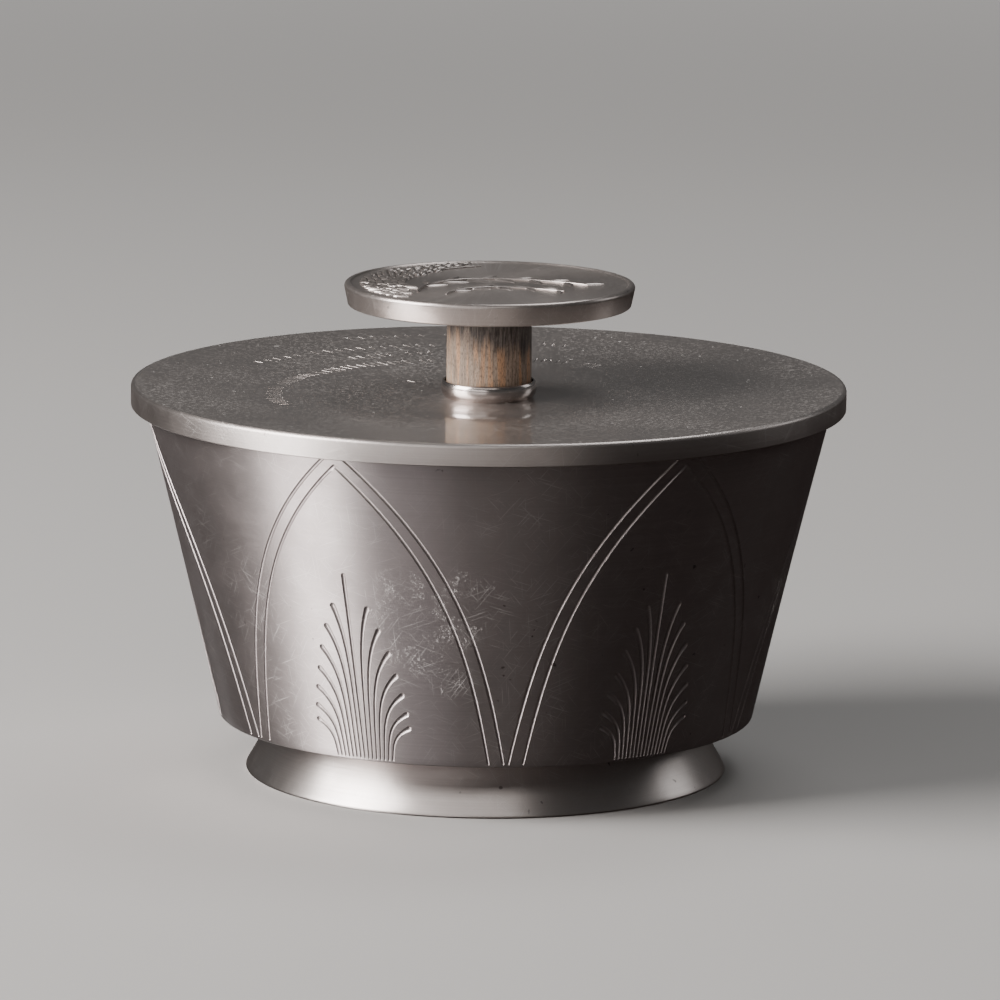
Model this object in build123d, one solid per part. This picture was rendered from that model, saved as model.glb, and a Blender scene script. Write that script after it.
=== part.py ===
from build123d import *
import math
import os

# Lidded pewter bowl on a flared foot, with a wood-and-pewter lift knob.
# Millimetres, +Z up, origin at the centre of the circle the foot stands on.

# ---- driving dimensions -------------------------------------------------
# foot: a hollow flared ring soldered under the bowl
FOOT_HEIGHT = 12.0
FOOT_BASE_R = 51.2
FOOT_JOINT_R = 44.8
FOOT_WALL = 2.0
FOOT_HOLLOWING = 0.25          # how far the flare is drawn in at half height
FOOT_FLANGE_INNER_R = 39.5
FOOT_FLANGE_THICKNESS = 1.2
FOOT_EDGE_ROUND = 0.4

# bowl: a spun cone with a flat base
BOWL_BASE_R = 56.3
BOWL_MOUTH_R = 72.7
MOUTH_Z = 80.4
BOWL_WALL = 1.65
BOWL_FLOOR = 2.0
BOWL_WAIST = 0.22              # how far the wall is drawn in at half height
BOWL_CORNER_ROUND = 0.45
BOWL_INNER_CORNER_ROUND = 3.0
MOUTH_EDGE_ROUND = 0.35

# lid: a shallow dish, low in the middle, with a turned-down rim
LID_R = 75.0
LID_TOP_Z = 82.3
LID_RIM_BOTTOM_Z = 77.7
LID_RIM_WALL = 1.5
LID_EDGE_ROUND = 0.8
LID_PAD_R = 10.5               # flat middle that the knob stands on
LID_PAD_Z = 79.35
LID_THICKNESS = 1.7
LID_SEAT_INNER_R = 67.8        # flat ring under the lid that lies on the mouth
COLLAR_R = 69.4
COLLAR_WALL = 1.2
COLLAR_BOTTOM_Z = 75.4
COLLAR_EDGE_ROUND = 0.3

# knob: ferrule cup, wooden stem and pewter disc on one threaded stud
FERRULE_HEIGHT = 3.6
FERRULE_FLOOR = 0.8
FERRULE_INNER_R = 9.35
FERRULE_TOP_R = 9.75
FERRULE_BELLY_R = 10.05
FERRULE_FOOT_R = 9.45
STEM_R = 8.9
DISC_BOTTOM_Z = 98.85
DISC_TOP_Z = 103.6
DISC_BOTTOM_R = 29.65
DISC_R = 30.6
DISC_TOP_ROUND = 0.9
DISC_BOTTOM_ROUND = 0.4
DISC_FIELD_R = 29.2            # shallow sunk field inside a thin raised border
DISC_FIELD_DEPTH = 0.3

STUD_R = 2.5
STUD_CLEARANCE = 0.1
STUD_DEPTH_IN_DISC = 2.9
STUD_END_BELOW_NUT = 1.2
STUD_CHAMFER = 0.5
WASHER_R = 7.5
WASHER_THICKNESS = 1.0
NUT_ACROSS_FLATS = 8.0
NUT_HEIGHT = 4.0
NUT_CHAMFER = 0.4

# ---- heights that follow from them --------------------------------------
FERRULE_TOP_Z = LID_PAD_Z + FERRULE_HEIGHT
STEM_BOTTOM_Z = LID_PAD_Z + FERRULE_FLOOR
PAD_UNDERSIDE_Z = LID_PAD_Z - LID_THICKNESS
WASHER_BOTTOM_Z = PAD_UNDERSIDE_Z - WASHER_THICKNESS
NUT_BOTTOM_Z = WASHER_BOTTOM_Z - NUT_HEIGHT
STUD_BOTTOM_Z = NUT_BOTTOM_Z - STUD_END_BELOW_NUT
STUD_TOP_Z = DISC_BOTTOM_Z + STUD_DEPTH_IN_DISC
STUD_HOLE_R = STUD_R + STUD_CLEARANCE


def spun(*edges):
    """Solid of revolution about Z from a closed outline in the XZ plane."""
    outline = Plane.XZ * make_face(Curve() + list(edges))
    return revolve(outline, Axis.Z, 360)


def line(*points):
    return Polyline(*points)


def arc(start, middle, end):
    return ThreePointArc(start, middle, end)


def rounded(solid, radius, test):
    """Round the circular edges of a solid that pass the test."""
    picked = [edge for edge in solid.edges() if test(edge)]
    return fillet(picked, radius)


def circle_at(edge, radius, z, slack=0.02):
    box = edge.bounding_box()
    same_height = abs(box.min.Z - z) < slack and abs(box.max.Z - z) < slack
    return same_height and abs(box.max.X - radius) < slack


def ring(outer_r, inner_r, bottom_z, top_z):
    height = top_z - bottom_z
    blank = Cylinder(outer_r, height) - Cylinder(inner_r, height)
    return Pos(0, 0, (bottom_z + top_z) / 2) * blank


# ---- foot ----------------------------------------------------------------
def make_foot_ring():
    half = FOOT_HEIGHT / 2
    mid_r = (FOOT_BASE_R + FOOT_JOINT_R) / 2 - FOOT_HOLLOWING
    flange_z = FOOT_HEIGHT - FOOT_FLANGE_THICKNESS
    solid = spun(
        arc((FOOT_BASE_R, 0), (mid_r, half), (FOOT_JOINT_R, FOOT_HEIGHT)),
        line(
            (FOOT_JOINT_R, FOOT_HEIGHT),
            (FOOT_FLANGE_INNER_R, FOOT_HEIGHT),
            (FOOT_FLANGE_INNER_R, flange_z),
            (FOOT_JOINT_R - FOOT_WALL, flange_z),
        ),
        arc(
            (FOOT_JOINT_R - FOOT_WALL, flange_z),
            (mid_r - FOOT_WALL, half),
            (FOOT_BASE_R - FOOT_WALL, 0),
        ),
        line((FOOT_BASE_R - FOOT_WALL, 0), (FOOT_BASE_R, 0)),
    )
    return rounded(solid, FOOT_EDGE_ROUND, lambda e: circle_at(e, FOOT_BASE_R, 0))


# ---- bowl ----------------------------------------------------------------
def make_bowl_body():
    mid_z = (FOOT_HEIGHT + MOUTH_Z) / 2
    mid_r = (BOWL_BASE_R + BOWL_MOUTH_R) / 2 - BOWL_WAIST
    floor_z = FOOT_HEIGHT + BOWL_FLOOR
    slope = (BOWL_MOUTH_R - BOWL_BASE_R) / (MOUTH_Z - FOOT_HEIGHT)
    inner_base_r = BOWL_BASE_R - BOWL_WALL + slope * BOWL_FLOOR
    inner_mid_z = (floor_z + MOUTH_Z) / 2
    inner_mid_r = (inner_base_r + BOWL_MOUTH_R - BOWL_WALL) / 2 - BOWL_WAIST
    solid = spun(
        line((0, FOOT_HEIGHT), (BOWL_BASE_R, FOOT_HEIGHT)),
        arc((BOWL_BASE_R, FOOT_HEIGHT), (mid_r, mid_z), (BOWL_MOUTH_R, MOUTH_Z)),
        line((BOWL_MOUTH_R, MOUTH_Z), (BOWL_MOUTH_R - BOWL_WALL, MOUTH_Z)),
        arc(
            (BOWL_MOUTH_R - BOWL_WALL, MOUTH_Z),
            (inner_mid_r, inner_mid_z),
            (inner_base_r, floor_z),
        ),
        line((inner_base_r, floor_z), (0, floor_z), (0, FOOT_HEIGHT)),
    )
    solid = rounded(
        solid, BOWL_CORNER_ROUND, lambda e: circle_at(e, BOWL_BASE_R, FOOT_HEIGHT)
    )
    solid = rounded(
        solid, BOWL_INNER_CORNER_ROUND, lambda e: circle_at(e, inner_base_r, floor_z)
    )
    return rounded(
        solid,
        MOUTH_EDGE_ROUND,
        lambda e: circle_at(e, BOWL_MOUTH_R, MOUTH_Z)
        or circle_at(e, BOWL_MOUTH_R - BOWL_WALL, MOUTH_Z),
    )


# ---- lid -----------------------------------------------------------------
def make_lid_plate():
    dish_edge_r = LID_R - 1.0
    solid = spun(
        line(
            (STUD_HOLE_R, LID_PAD_Z),
            (LID_PAD_R, LID_PAD_Z),
            (dish_edge_r, LID_TOP_Z),
            (LID_R, LID_TOP_Z),
            (LID_R, LID_RIM_BOTTOM_Z),
            (LID_R - LID_RIM_WALL, LID_RIM_BOTTOM_Z),
            (LID_R - LID_RIM_WALL, MOUTH_Z),
            (LID_SEAT_INNER_R, MOUTH_Z),
            (LID_PAD_R, PAD_UNDERSIDE_Z),
            (STUD_HOLE_R, PAD_UNDERSIDE_Z),
            (STUD_HOLE_R, LID_PAD_Z),
        )
    )
    return rounded(solid, LID_EDGE_ROUND, lambda e: circle_at(e, LID_R, LID_TOP_Z))


def make_locating_collar():
    solid = ring(COLLAR_R, COLLAR_R - COLLAR_WALL, COLLAR_BOTTOM_Z, MOUTH_Z)
    return rounded(
        solid,
        COLLAR_EDGE_ROUND,
        lambda e: circle_at(e, COLLAR_R, COLLAR_BOTTOM_Z)
        or circle_at(e, COLLAR_R - COLLAR_WALL, COLLAR_BOTTOM_Z),
    )


# ---- knob ----------------------------------------------------------------
def make_ferrule():
    belly_z = (LID_PAD_Z + FERRULE_TOP_Z) / 2
    return spun(
        line((STUD_HOLE_R, LID_PAD_Z), (FERRULE_FOOT_R, LID_PAD_Z)),
        arc(
            (FERRULE_FOOT_R, LID_PAD_Z),
            (FERRULE_BELLY_R, belly_z),
            (FERRULE_TOP_R, FERRULE_TOP_Z),
        ),
        line(
            (FERRULE_TOP_R, FERRULE_TOP_Z),
            (FERRULE_INNER_R, FERRULE_TOP_Z),
            (FERRULE_INNER_R, STEM_BOTTOM_Z),
            (STUD_HOLE_R, STEM_BOTTOM_Z),
            (STUD_HOLE_R, LID_PAD_Z),
        ),
    )


def make_knob_disc():
    bore_top = STUD_TOP_Z
    field_z = DISC_TOP_Z - DISC_FIELD_DEPTH
    shoulder_z = DISC_TOP_Z - DISC_TOP_ROUND
    solid = spun(
        line(
            (STUD_R, DISC_BOTTOM_Z),
            (DISC_BOTTOM_R, DISC_BOTTOM_Z),
            (DISC_R, shoulder_z),
        ),
        arc(
            (DISC_R, shoulder_z),
            (
                DISC_R - DISC_TOP_ROUND * (1 - math.cos(math.radians(45))),
                DISC_TOP_Z - DISC_TOP_ROUND * (1 - math.sin(math.radians(45))),
            ),
            (DISC_R - DISC_TOP_ROUND, DISC_TOP_Z),
        ),
        line(
            (DISC_R - DISC_TOP_ROUND, DISC_TOP_Z),
            (DISC_FIELD_R, DISC_TOP_Z),
            (DISC_FIELD_R, field_z),
            (0, field_z),
            (0, bore_top),
            (STUD_R, bore_top),
            (STUD_R, DISC_BOTTOM_Z),
        ),
    )
    return rounded(
        solid,
        DISC_BOTTOM_ROUND,
        lambda e: circle_at(e, DISC_BOTTOM_R, DISC_BOTTOM_Z),
    )


def make_stud():
    height = STUD_TOP_Z - STUD_BOTTOM_Z
    rod = Pos(0, 0, (STUD_TOP_Z + STUD_BOTTOM_Z) / 2) * Cylinder(STUD_R, height)
    ends = [e for e in rod.edges() if circle_at(e, STUD_R, STUD_BOTTOM_Z)]
    return chamfer(ends, STUD_CHAMFER)


def make_nut():
    hexagon = RegularPolygon(NUT_ACROSS_FLATS / 2, 6, major_radius=False)
    blank = Pos(0, 0, NUT_BOTTOM_Z) * extrude(hexagon, NUT_HEIGHT)
    corner_r = NUT_ACROSS_FLATS / math.sqrt(3)
    cone = spun(
        line(
            (0, NUT_BOTTOM_Z),
            (corner_r - 2 * NUT_CHAMFER, NUT_BOTTOM_Z),
            (corner_r + NUT_CHAMFER, NUT_BOTTOM_Z + 1.7 * NUT_CHAMFER),
            (corner_r + NUT_CHAMFER, WASHER_BOTTOM_Z),
            (0, WASHER_BOTTOM_Z),
            (0, NUT_BOTTOM_Z),
        )
    )
    hole = Pos(0, 0, NUT_BOTTOM_Z + NUT_HEIGHT / 2) * Cylinder(STUD_R, NUT_HEIGHT)
    return (blank & cone) - hole


NODES = {
    "foot_ring": make_foot_ring(),
    "bowl_body": make_bowl_body(),
    "lid_plate": make_lid_plate(),
    "lid_locating_collar": make_locating_collar(),
    "knob_ferrule": make_ferrule(),
    "knob_stem": ring(STEM_R, STUD_HOLE_R, STEM_BOTTOM_Z, DISC_BOTTOM_Z),
    "knob_disc": make_knob_disc(),
    "knob_stud": make_stud(),
    "knob_washer": ring(WASHER_R, STUD_HOLE_R, WASHER_BOTTOM_Z, PAD_UNDERSIDE_Z),
    "knob_nut": make_nut(),
}

os.makedirs("parts", exist_ok=True)
for node, solid in NODES.items():
    export_step(solid, f"parts/{node}.step")
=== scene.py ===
import math
import random

import bpy
import numpy as np
from mathutils import Matrix, Vector


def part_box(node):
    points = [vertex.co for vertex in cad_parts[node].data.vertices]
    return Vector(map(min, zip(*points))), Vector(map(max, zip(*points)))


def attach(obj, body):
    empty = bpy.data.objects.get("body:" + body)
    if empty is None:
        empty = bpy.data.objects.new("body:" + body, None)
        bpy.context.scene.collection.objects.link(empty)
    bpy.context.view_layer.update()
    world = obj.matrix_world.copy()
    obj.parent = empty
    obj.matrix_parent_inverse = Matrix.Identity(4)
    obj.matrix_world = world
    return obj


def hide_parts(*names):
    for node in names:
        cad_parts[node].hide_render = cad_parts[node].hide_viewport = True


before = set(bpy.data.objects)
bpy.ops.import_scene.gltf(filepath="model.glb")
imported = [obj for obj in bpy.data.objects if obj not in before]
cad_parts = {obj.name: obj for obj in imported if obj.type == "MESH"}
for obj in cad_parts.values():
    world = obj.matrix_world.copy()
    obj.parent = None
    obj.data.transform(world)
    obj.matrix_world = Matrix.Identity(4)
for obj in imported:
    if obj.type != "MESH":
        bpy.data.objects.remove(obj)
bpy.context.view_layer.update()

# Lidded pewter bowl on a flared foot. Metres, +Z up, the front of the bowl faces -Y.
# Azimuths are in degrees from the front, positive towards +X.
MM = 0.001
RNG = random.Random(7)

# ---- sizes read from the frame ---------------------------------------------
foot_lo, foot_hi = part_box("foot_ring")
bowl_lo, bowl_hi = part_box("bowl_body")
lid_lo, lid_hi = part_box("lid_plate")
ferrule_lo, ferrule_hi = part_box("knob_ferrule")
stem_lo, stem_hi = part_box("knob_stem")
disc_lo, disc_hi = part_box("knob_disc")
stud_lo, stud_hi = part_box("knob_stud")

FOOT_R, FOOT_TOP = foot_hi.x, foot_hi.z
MOUTH_R, MOUTH_Z = bowl_hi.x, bowl_hi.z
LID_R, LID_TOP, LID_RIM_LOW = lid_hi.x, lid_hi.z, lid_lo.z
PAD_Z = ferrule_lo.z
DISC_R, DISC_TOP, DISC_LOW = disc_hi.x, disc_hi.z, disc_lo.z
STUD_HOLE_R = stud_hi.x + 0.1 * MM

# ---- sizes that the frame's boxes don't hold --------------------------------
BASE_R = 56.3 * MM
BOWL_WAIST = 0.22 * MM
BOWL_WALL = 1.65 * MM
BOWL_FLOOR = 2.0 * MM
FOOT_JOINT_R = 44.8 * MM
FOOT_WALL = 2.0 * MM
FOOT_FLANGE_R = 39.5 * MM
PAD_R = 10.5 * MM
LID_THICKNESS = 1.7 * MM
LID_RIM_WALL = 1.5 * MM
LID_SEAT_R = 67.8 * MM
DISC_LOW_R = 29.65 * MM
DISC_FIELD_R = 29.2 * MM
DISC_FIELD_DEPTH = 0.3 * MM

TURN_STEPS = 360
SHARP_TURN = 32                # degrees past which a turned outline keeps an edge


def mesh_object(name, verts, faces):
    mesh = bpy.data.meshes.new(name)
    mesh.from_pydata(verts, [], faces)
    obj = bpy.data.objects.new(name, mesh)
    bpy.context.scene.collection.objects.link(obj)
    return obj


# ---- outlines of turned pieces -----------------------------------------------
def bowed(start, end, sag, steps):
    """Points from start to end, end left out, drawn in by sag at half way."""
    points = []
    for i in range(steps):
        t = i / steps
        r = start[0] + (end[0] - start[0]) * t - sag * 4 * t * (1 - t)
        points.append((r, start[1] + (end[1] - start[1]) * t))
    return points


def softened(corners, steps=5):
    """Outline from (r, z, radius) corners, with an arc of that radius in each corner."""
    points = []
    count = len(corners)
    for i, (r, z, radius) in enumerate(corners):
        here = Vector((r, z))
        if radius == 0:
            points.append((r, z))
            continue
        before = (Vector(corners[i - 1][:2]) - here).normalized()
        after = (Vector(corners[(i + 1) % count][:2]) - here).normalized()
        half = before.angle(after) / 2
        centre = here + (before + after).normalized() * (radius / math.sin(half))
        reach = radius / math.tan(half)
        first, last = here + before * reach - centre, here + after * reach - centre
        turn = first.angle_signed(last)
        for k in range(steps + 1):
            spoke = first.copy()
            spoke.rotate(Matrix.Rotation(-turn * k / steps, 2))
            points.append(tuple(centre + spoke))
    return points


def outline_normals(points):
    """Two normals for each stretch of the outline, one at each end, smooth but for sharp corners."""
    count = len(points)
    flat = []
    for i in range(count):
        a, b = points[i], points[(i + 1) % count]
        flat.append(Vector((b[1] - a[1], a[0] - b[0])).normalized())
    ends = []
    limit = math.cos(math.radians(SHARP_TURN))
    for i in range(count):
        here, before, after = flat[i], flat[i - 1], flat[(i + 1) % count]
        start = (here + before).normalized() if here.dot(before) > limit else here
        end = (here + after).normalized() if here.dot(after) > limit else here
        ends.append((start, end))
    return ends


def turned(name, points, steps=TURN_STEPS):
    """Closed solid of revolution. points run anticlockwise in the (r, z) plane."""
    verts, rings = [], []
    for r, z in points:
        if r < 1e-7:
            rings.append([len(verts)] * steps)
            verts.append((0.0, 0.0, z))
            continue
        rings.append(list(range(len(verts), len(verts) + steps)))
        for k in range(steps):
            a = 2 * math.pi * k / steps
            verts.append((r * math.cos(a), r * math.sin(a), z))
    faces = []
    for i, ring in enumerate(rings):
        above = rings[(i + 1) % len(rings)]
        for k in range(steps):
            n = (k + 1) % steps
            corner = [ring[k], ring[n], above[n], above[k]]
            face = [v for j, v in enumerate(corner) if v != corner[j - 1]]
            if len(face) > 2:
                faces.append(face)
    return mesh_object(name, verts, faces)


def creased_normals(mesh, cut, crease):
    """Corner normals smoothed up to an angle in degrees, never across the edge of a cut."""
    mesh.polygons.foreach_set("use_smooth", [True] * len(mesh.polygons))
    mesh.set_sharp_from_angle(angle=math.radians(crease))
    edge = np.zeros(len(mesh.loops), int)
    mesh.loops.foreach_get("edge_index", edge)
    sharp = np.zeros(len(mesh.edges), bool)
    mesh.edges.foreach_get("use_edge_sharp", sharp)
    cuts, uncut = np.zeros(len(sharp), bool), np.zeros(len(sharp), bool)
    cuts[edge[cut]] = True
    uncut[edge[~cut]] = True
    mesh.edges.foreach_set("use_edge_sharp", sharp | (cuts & uncut))
    mesh.update()
    out = np.zeros(len(mesh.loops) * 3)
    mesh.corner_normals.foreach_get("vector", out)
    return out.reshape(-1, 3)


def dress_normals(obj, points, crease=None):
    """Corner normals: the turned surface's own on uncut faces, averaged ones inside cuts.

    crease: angle in degrees past which cut faces keep an edge between them.
    """
    mesh = obj.data
    normals = outline_normals(points)
    a = np.array(points)
    b = np.roll(a, -1, axis=0)
    span = b - a
    length2 = np.maximum((span ** 2).sum(1), 1e-18)
    counts = np.zeros(len(mesh.polygons), int)
    mesh.polygons.foreach_get("loop_total", counts)
    slots = np.zeros(len(mesh.polygons), int)
    mesh.polygons.foreach_get("material_index", slots)
    face_normals = np.zeros(len(mesh.polygons) * 3)
    mesh.polygons.foreach_get("normal", face_normals)
    face_normals = face_normals.reshape(-1, 3)
    areas = np.zeros(len(mesh.polygons))
    mesh.polygons.foreach_get("area", areas)
    centres = np.zeros(len(mesh.polygons) * 3)
    mesh.polygons.foreach_get("center", centres)
    centres = centres.reshape(-1, 3)
    corner_vert = np.zeros(len(mesh.loops), int)
    mesh.loops.foreach_get("vertex_index", corner_vert)
    co = np.zeros(len(mesh.vertices) * 3)
    mesh.vertices.foreach_get("co", co)
    co = co.reshape(-1, 3)
    corner_face = np.repeat(np.arange(len(counts)), counts)

    # inside cuts: the mean of the cut faces that meet at the vertex
    cut = slots[corner_face] == 1
    mean = np.zeros_like(co)
    weighted = face_normals * areas[:, None]
    np.add.at(mean, corner_vert[cut], weighted[corner_face[cut]])
    out = mean[corner_vert]
    if crease:
        out = creased_normals(mesh, cut, crease)

    # elsewhere: the outline's normal, turned to the corner's azimuth
    radial = np.hypot(centres[:, 0], centres[:, 1])
    spot = np.stack([radial, centres[:, 2]], 1)
    best = np.zeros(len(spot), int)
    near = np.full(len(spot), 1e9)
    flat = np.stack([span[:, 1], -span[:, 0]], 1)
    flat /= np.maximum(np.linalg.norm(flat, axis=1, keepdims=True), 1e-12)
    along = face_normals[:, 0] * centres[:, 0] + face_normals[:, 1] * centres[:, 1]
    slope = np.stack([along / np.maximum(radial, 1e-9), face_normals[:, 2]], 1)
    for i in range(len(a)):
        t = np.clip(((spot - a[i]) @ span[i]) / length2[i], 0, 1)
        away = np.linalg.norm(spot - (a[i] + t[:, None] * span[i]), axis=1)
        away = away + (slope @ flat[i] < 0.5) * 1e-3
        closer = away < near
        near[closer] = away[closer]
        best[closer] = i
    plain = ~cut
    which = best[corner_face[plain]]
    place = co[corner_vert[plain]]
    ring_r = np.hypot(place[:, 0], place[:, 1])
    here = np.stack([ring_r, place[:, 2]], 1)
    t = np.clip(((here - a[which]) * span[which]).sum(1) / length2[which], 0, 1)[:, None]
    starts = np.array([tuple(n[0]) for n in normals])[which]
    finish = np.array([tuple(n[1]) for n in normals])[which]
    mixed = starts * (1 - t) + finish * t
    safe = np.maximum(ring_r, 1e-9)
    cosine = np.where(ring_r > 1e-6, place[:, 0] / safe, 0)
    sine = np.where(ring_r > 1e-6, place[:, 1] / safe, 0)
    out[plain] = np.stack([mixed[:, 0] * cosine, mixed[:, 0] * sine, mixed[:, 1]], 1)
    out /= np.maximum(np.linalg.norm(out, axis=1, keepdims=True), 1e-12)
    mesh.polygons.foreach_set("use_smooth", [True] * len(mesh.polygons))
    mesh.normals_split_custom_set([tuple(n) for n in out])


# ---- engraving -----------------------------------------------------------------
def skin(verts, faces, rings):
    """Joins closed rings of points, wound anticlockwise seen from the far end, into a closed tube."""
    start, sides = len(verts), len(rings[0])
    for ring in rings:
        verts.extend(ring)
    for i in range(len(rings) - 1):
        for k in range(sides):
            n = (k + 1) % sides
            low, high = start + i * sides, start + (i + 1) * sides
            faces.append((low + k, low + n, high + n, high + k))
    faces.append(tuple(start + k for k in reversed(range(sides))))
    faces.append(tuple(start + (len(rings) - 1) * sides + k for k in range(sides)))


def frames_along(points, normals):
    """A (point, side, up, ahead) frame at each point of a path that lies on a surface."""
    out = []
    last = len(points) - 1
    for i, (p, n) in enumerate(zip(points, normals)):
        ahead = (points[min(i + 1, last)] - points[max(i - 1, 0)]).normalized()
        side = n.cross(ahead).normalized()
        out.append((p, side, ahead.cross(side).normalized(), ahead))
    return out


ARC_STEPS = 8                  # facets across a groove
CLEAR = 0.08 * MM              # how far a tool stands out of the surface it cuts


def groove(verts, faces, points, normals, widths, depths):
    """The path of a round-nosed tool along points, for cutting a groove with rounded ends."""
    frames = frames_along(points, normals)
    stations = []
    for frame_, width, depth in zip(frames, widths, depths):
        tool = (width ** 2 / 4 + depth ** 2) / (2 * depth)
        stations.append((frame_, tool, tool - depth, 0.0))

    def end(station, width, way):
        frame_, tool, height, _ = station
        ends = []
        for share in (0.45, 0.8, 1.0):
            push = width / 2 * share
            ends.append((frame_, math.sqrt(tool ** 2 - push ** 2) + 1e-7, height, way * push))
        return ends

    first = end(stations[0], widths[0], -1)
    last = end(stations[-1], widths[-1], 1)
    rings = []
    for (p, side, up, ahead), radius, height, push in first[::-1] + stations + last:
        reach = math.acos(max(-0.9, min(0.9999, (height - CLEAR) / radius)))
        centre = p + up * height + ahead * push
        ring = []
        for k in range(ARC_STEPS + 1):
            a = reach * (2 * k / ARC_STEPS - 1)
            ring.append(centre + side * math.sin(a) * radius - up * math.cos(a) * radius)
        rings.append(ring)
    skin(verts, faces, rings)


def tool_object(name, verts, faces):
    """A cutting or raising tool, whose faces all carry slot 1."""
    obj = mesh_object(name, [tuple(v) for v in verts], faces)
    obj.data.materials.append(None)
    obj.data.materials.append(None)
    obj.data.polygons.foreach_set("material_index", [1] * len(obj.data.polygons))
    return obj


def worked(obj, tools, operation):
    """Cuts or adds each tool in turn, then removes the tools. The new faces get slot 1."""
    obj.data.materials.append(None)
    obj.data.materials.append(None)
    for tool in tools:
        step = obj.modifiers.new(tool.name, "BOOLEAN")
        step.operation = operation
        step.solver = "MANIFOLD"
        step.object = tool
    graph = bpy.context.evaluated_depsgraph_get()
    done = bpy.data.meshes.new_from_object(obj.evaluated_get(graph))
    obj.modifiers.clear()
    obj.data = done
    for tool in tools:
        bpy.data.objects.remove(tool)


# ---- bowl ------------------------------------------------------------------------
WALL_STEPS = 24


def bowl_outline():
    corner, inner_corner, lip = 0.45 * MM, 3.0 * MM, 0.4 * MM
    slope = (MOUTH_R - BASE_R) / (MOUTH_Z - FOOT_TOP)
    floor_z = FOOT_TOP + BOWL_FLOOR
    inner_r = BASE_R - BOWL_WALL + slope * BOWL_FLOOR
    low_wall = (BASE_R + slope * 2 * MM, FOOT_TOP + 2 * MM)
    high_wall = (MOUTH_R - slope * 2 * MM, MOUTH_Z - 2 * MM)
    inner_high = (high_wall[0] - BOWL_WALL, high_wall[1])
    inner_low = (inner_r + slope * 5 * MM, floor_z + 5 * MM)
    bottom = softened([(0, FOOT_TOP, 0), (BASE_R, FOOT_TOP, corner), (*low_wall, 0)])[:-1]
    mouth = softened(
        [
            (*high_wall, 0),
            (MOUTH_R, MOUTH_Z, lip),
            (MOUTH_R - BOWL_WALL, MOUTH_Z, lip),
            (*inner_high, 0),
        ]
    )[1:-1]
    floor = softened([(*inner_low, 0), (inner_r, floor_z, inner_corner), (0, floor_z, 0)])[1:]
    points = bottom
    points += bowed(low_wall, high_wall, BOWL_WAIST, WALL_STEPS) + [high_wall]
    points += mouth
    points += bowed(inner_high, inner_low, BOWL_WAIST, WALL_STEPS // 2) + [inner_low]
    points += floor
    return points


def wall_radius(z):
    t = (z - FOOT_TOP) / (MOUTH_Z - FOOT_TOP)
    return BASE_R + (MOUTH_R - BASE_R) * t - BOWL_WAIST * 4 * t * (1 - t)


def on_wall(azimuth, z):
    """Point and outward normal of the bowl's wall at an azimuth in degrees."""
    a = math.radians(azimuth)
    r = wall_radius(z)
    lean = (wall_radius(z + MM) - wall_radius(z - MM)) / (2 * MM)
    out = Vector((math.sin(a), -math.cos(a), 0))
    return out * r + Vector((0, 0, z)), (out - Vector((0, 0, lean))).normalized()


ARCHES = 6
ARCH_STEP = 360 / ARCHES
ARCH_CENTRE = 34.2             # azimuth of one arch's middle
ARCH_FOOT_Z = FOOT_TOP + 0.9 * MM
LINE_WIDTH = 0.80 * MM
LINE_DEPTH = 0.23 * MM


def arch_line(half_width, apex_z, side):
    """Half of a pointed arch: (azimuth from its middle, z) from the foot to the apex."""
    path = []
    steps = 44
    for i in range(steps + 1):
        u = i / steps
        away = half_width * (1 - 0.43 * u - 0.57 * u ** 3)
        path.append((side * away, ARCH_FOOT_Z + (apex_z - ARCH_FOOT_Z) * u))
    return path


FAN_STROKES = 7                # curved strokes on each side of the middle one
FAN_TIPS = (                   # (azimuth, height above the stroke's foot) of the curved strokes
    (3.5, 32.6), (5.4, 28.0), (7.0, 23.2), (8.2, 18.5), (9.2, 14.3), (9.9, 10.3), (10.2, 7.2),
)
FAN_BASE_STEP = 0.91           # azimuth between the feet of neighbouring strokes
FAN_MIDDLE_TOP = 39.5 * MM
FAN_MIDDLE_LEAN = -0.6         # azimuth between the middle stroke's foot and its tip
FAN_MIDDLE_POINTS = 23
STROKE_FOOT_WIDTH = 0.5 * MM
STROKE_FOOT_DEPTH = 0.15 * MM
FAN_FOOT_Z = FOOT_TOP + 0.8 * MM


def fan_stroke(rank, side):
    """One curved stroke of the fan: upright at the foot, curling outwards at the tip."""
    tip_azimuth, tip_rise = FAN_TIPS[rank]
    foot = FAN_BASE_STEP * (rank + 1)
    rise = tip_rise * MM
    steps = max(12, int(tip_rise * 0.8))
    power = 5.2 - 0.2 * rank
    path = []
    for i in range(steps + 1):
        v = 1 - (1 - i / steps) ** 1.7
        lean = 0.2 * v + 0.8 * v ** power
        path.append((side * (foot + (tip_azimuth - foot) * lean), FAN_FOOT_Z + rise * v))
    return path


def flare(count, foot, tip, power=1.4):
    """Sizes that grow from foot to tip along a stroke of that many points."""
    return [foot + (tip - foot) * (i / (count - 1)) ** power for i in range(count)]


def wall_strokes(name, strokes):
    """The same engraved strokes on all the arches, as one cutting tool.

    strokes: (path, widths, depths) with paths of (azimuth from the arch's middle, z).
    """
    verts, faces = [], []
    for k in range(ARCHES):
        for path, widths, depths in strokes:
            placed = [on_wall(ARCH_CENTRE + k * ARCH_STEP + a, z) for a, z in path]
            groove(verts, faces, [p for p, _ in placed], [n for _, n in placed], widths, depths)
    return tool_object(name, verts, faces)


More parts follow.
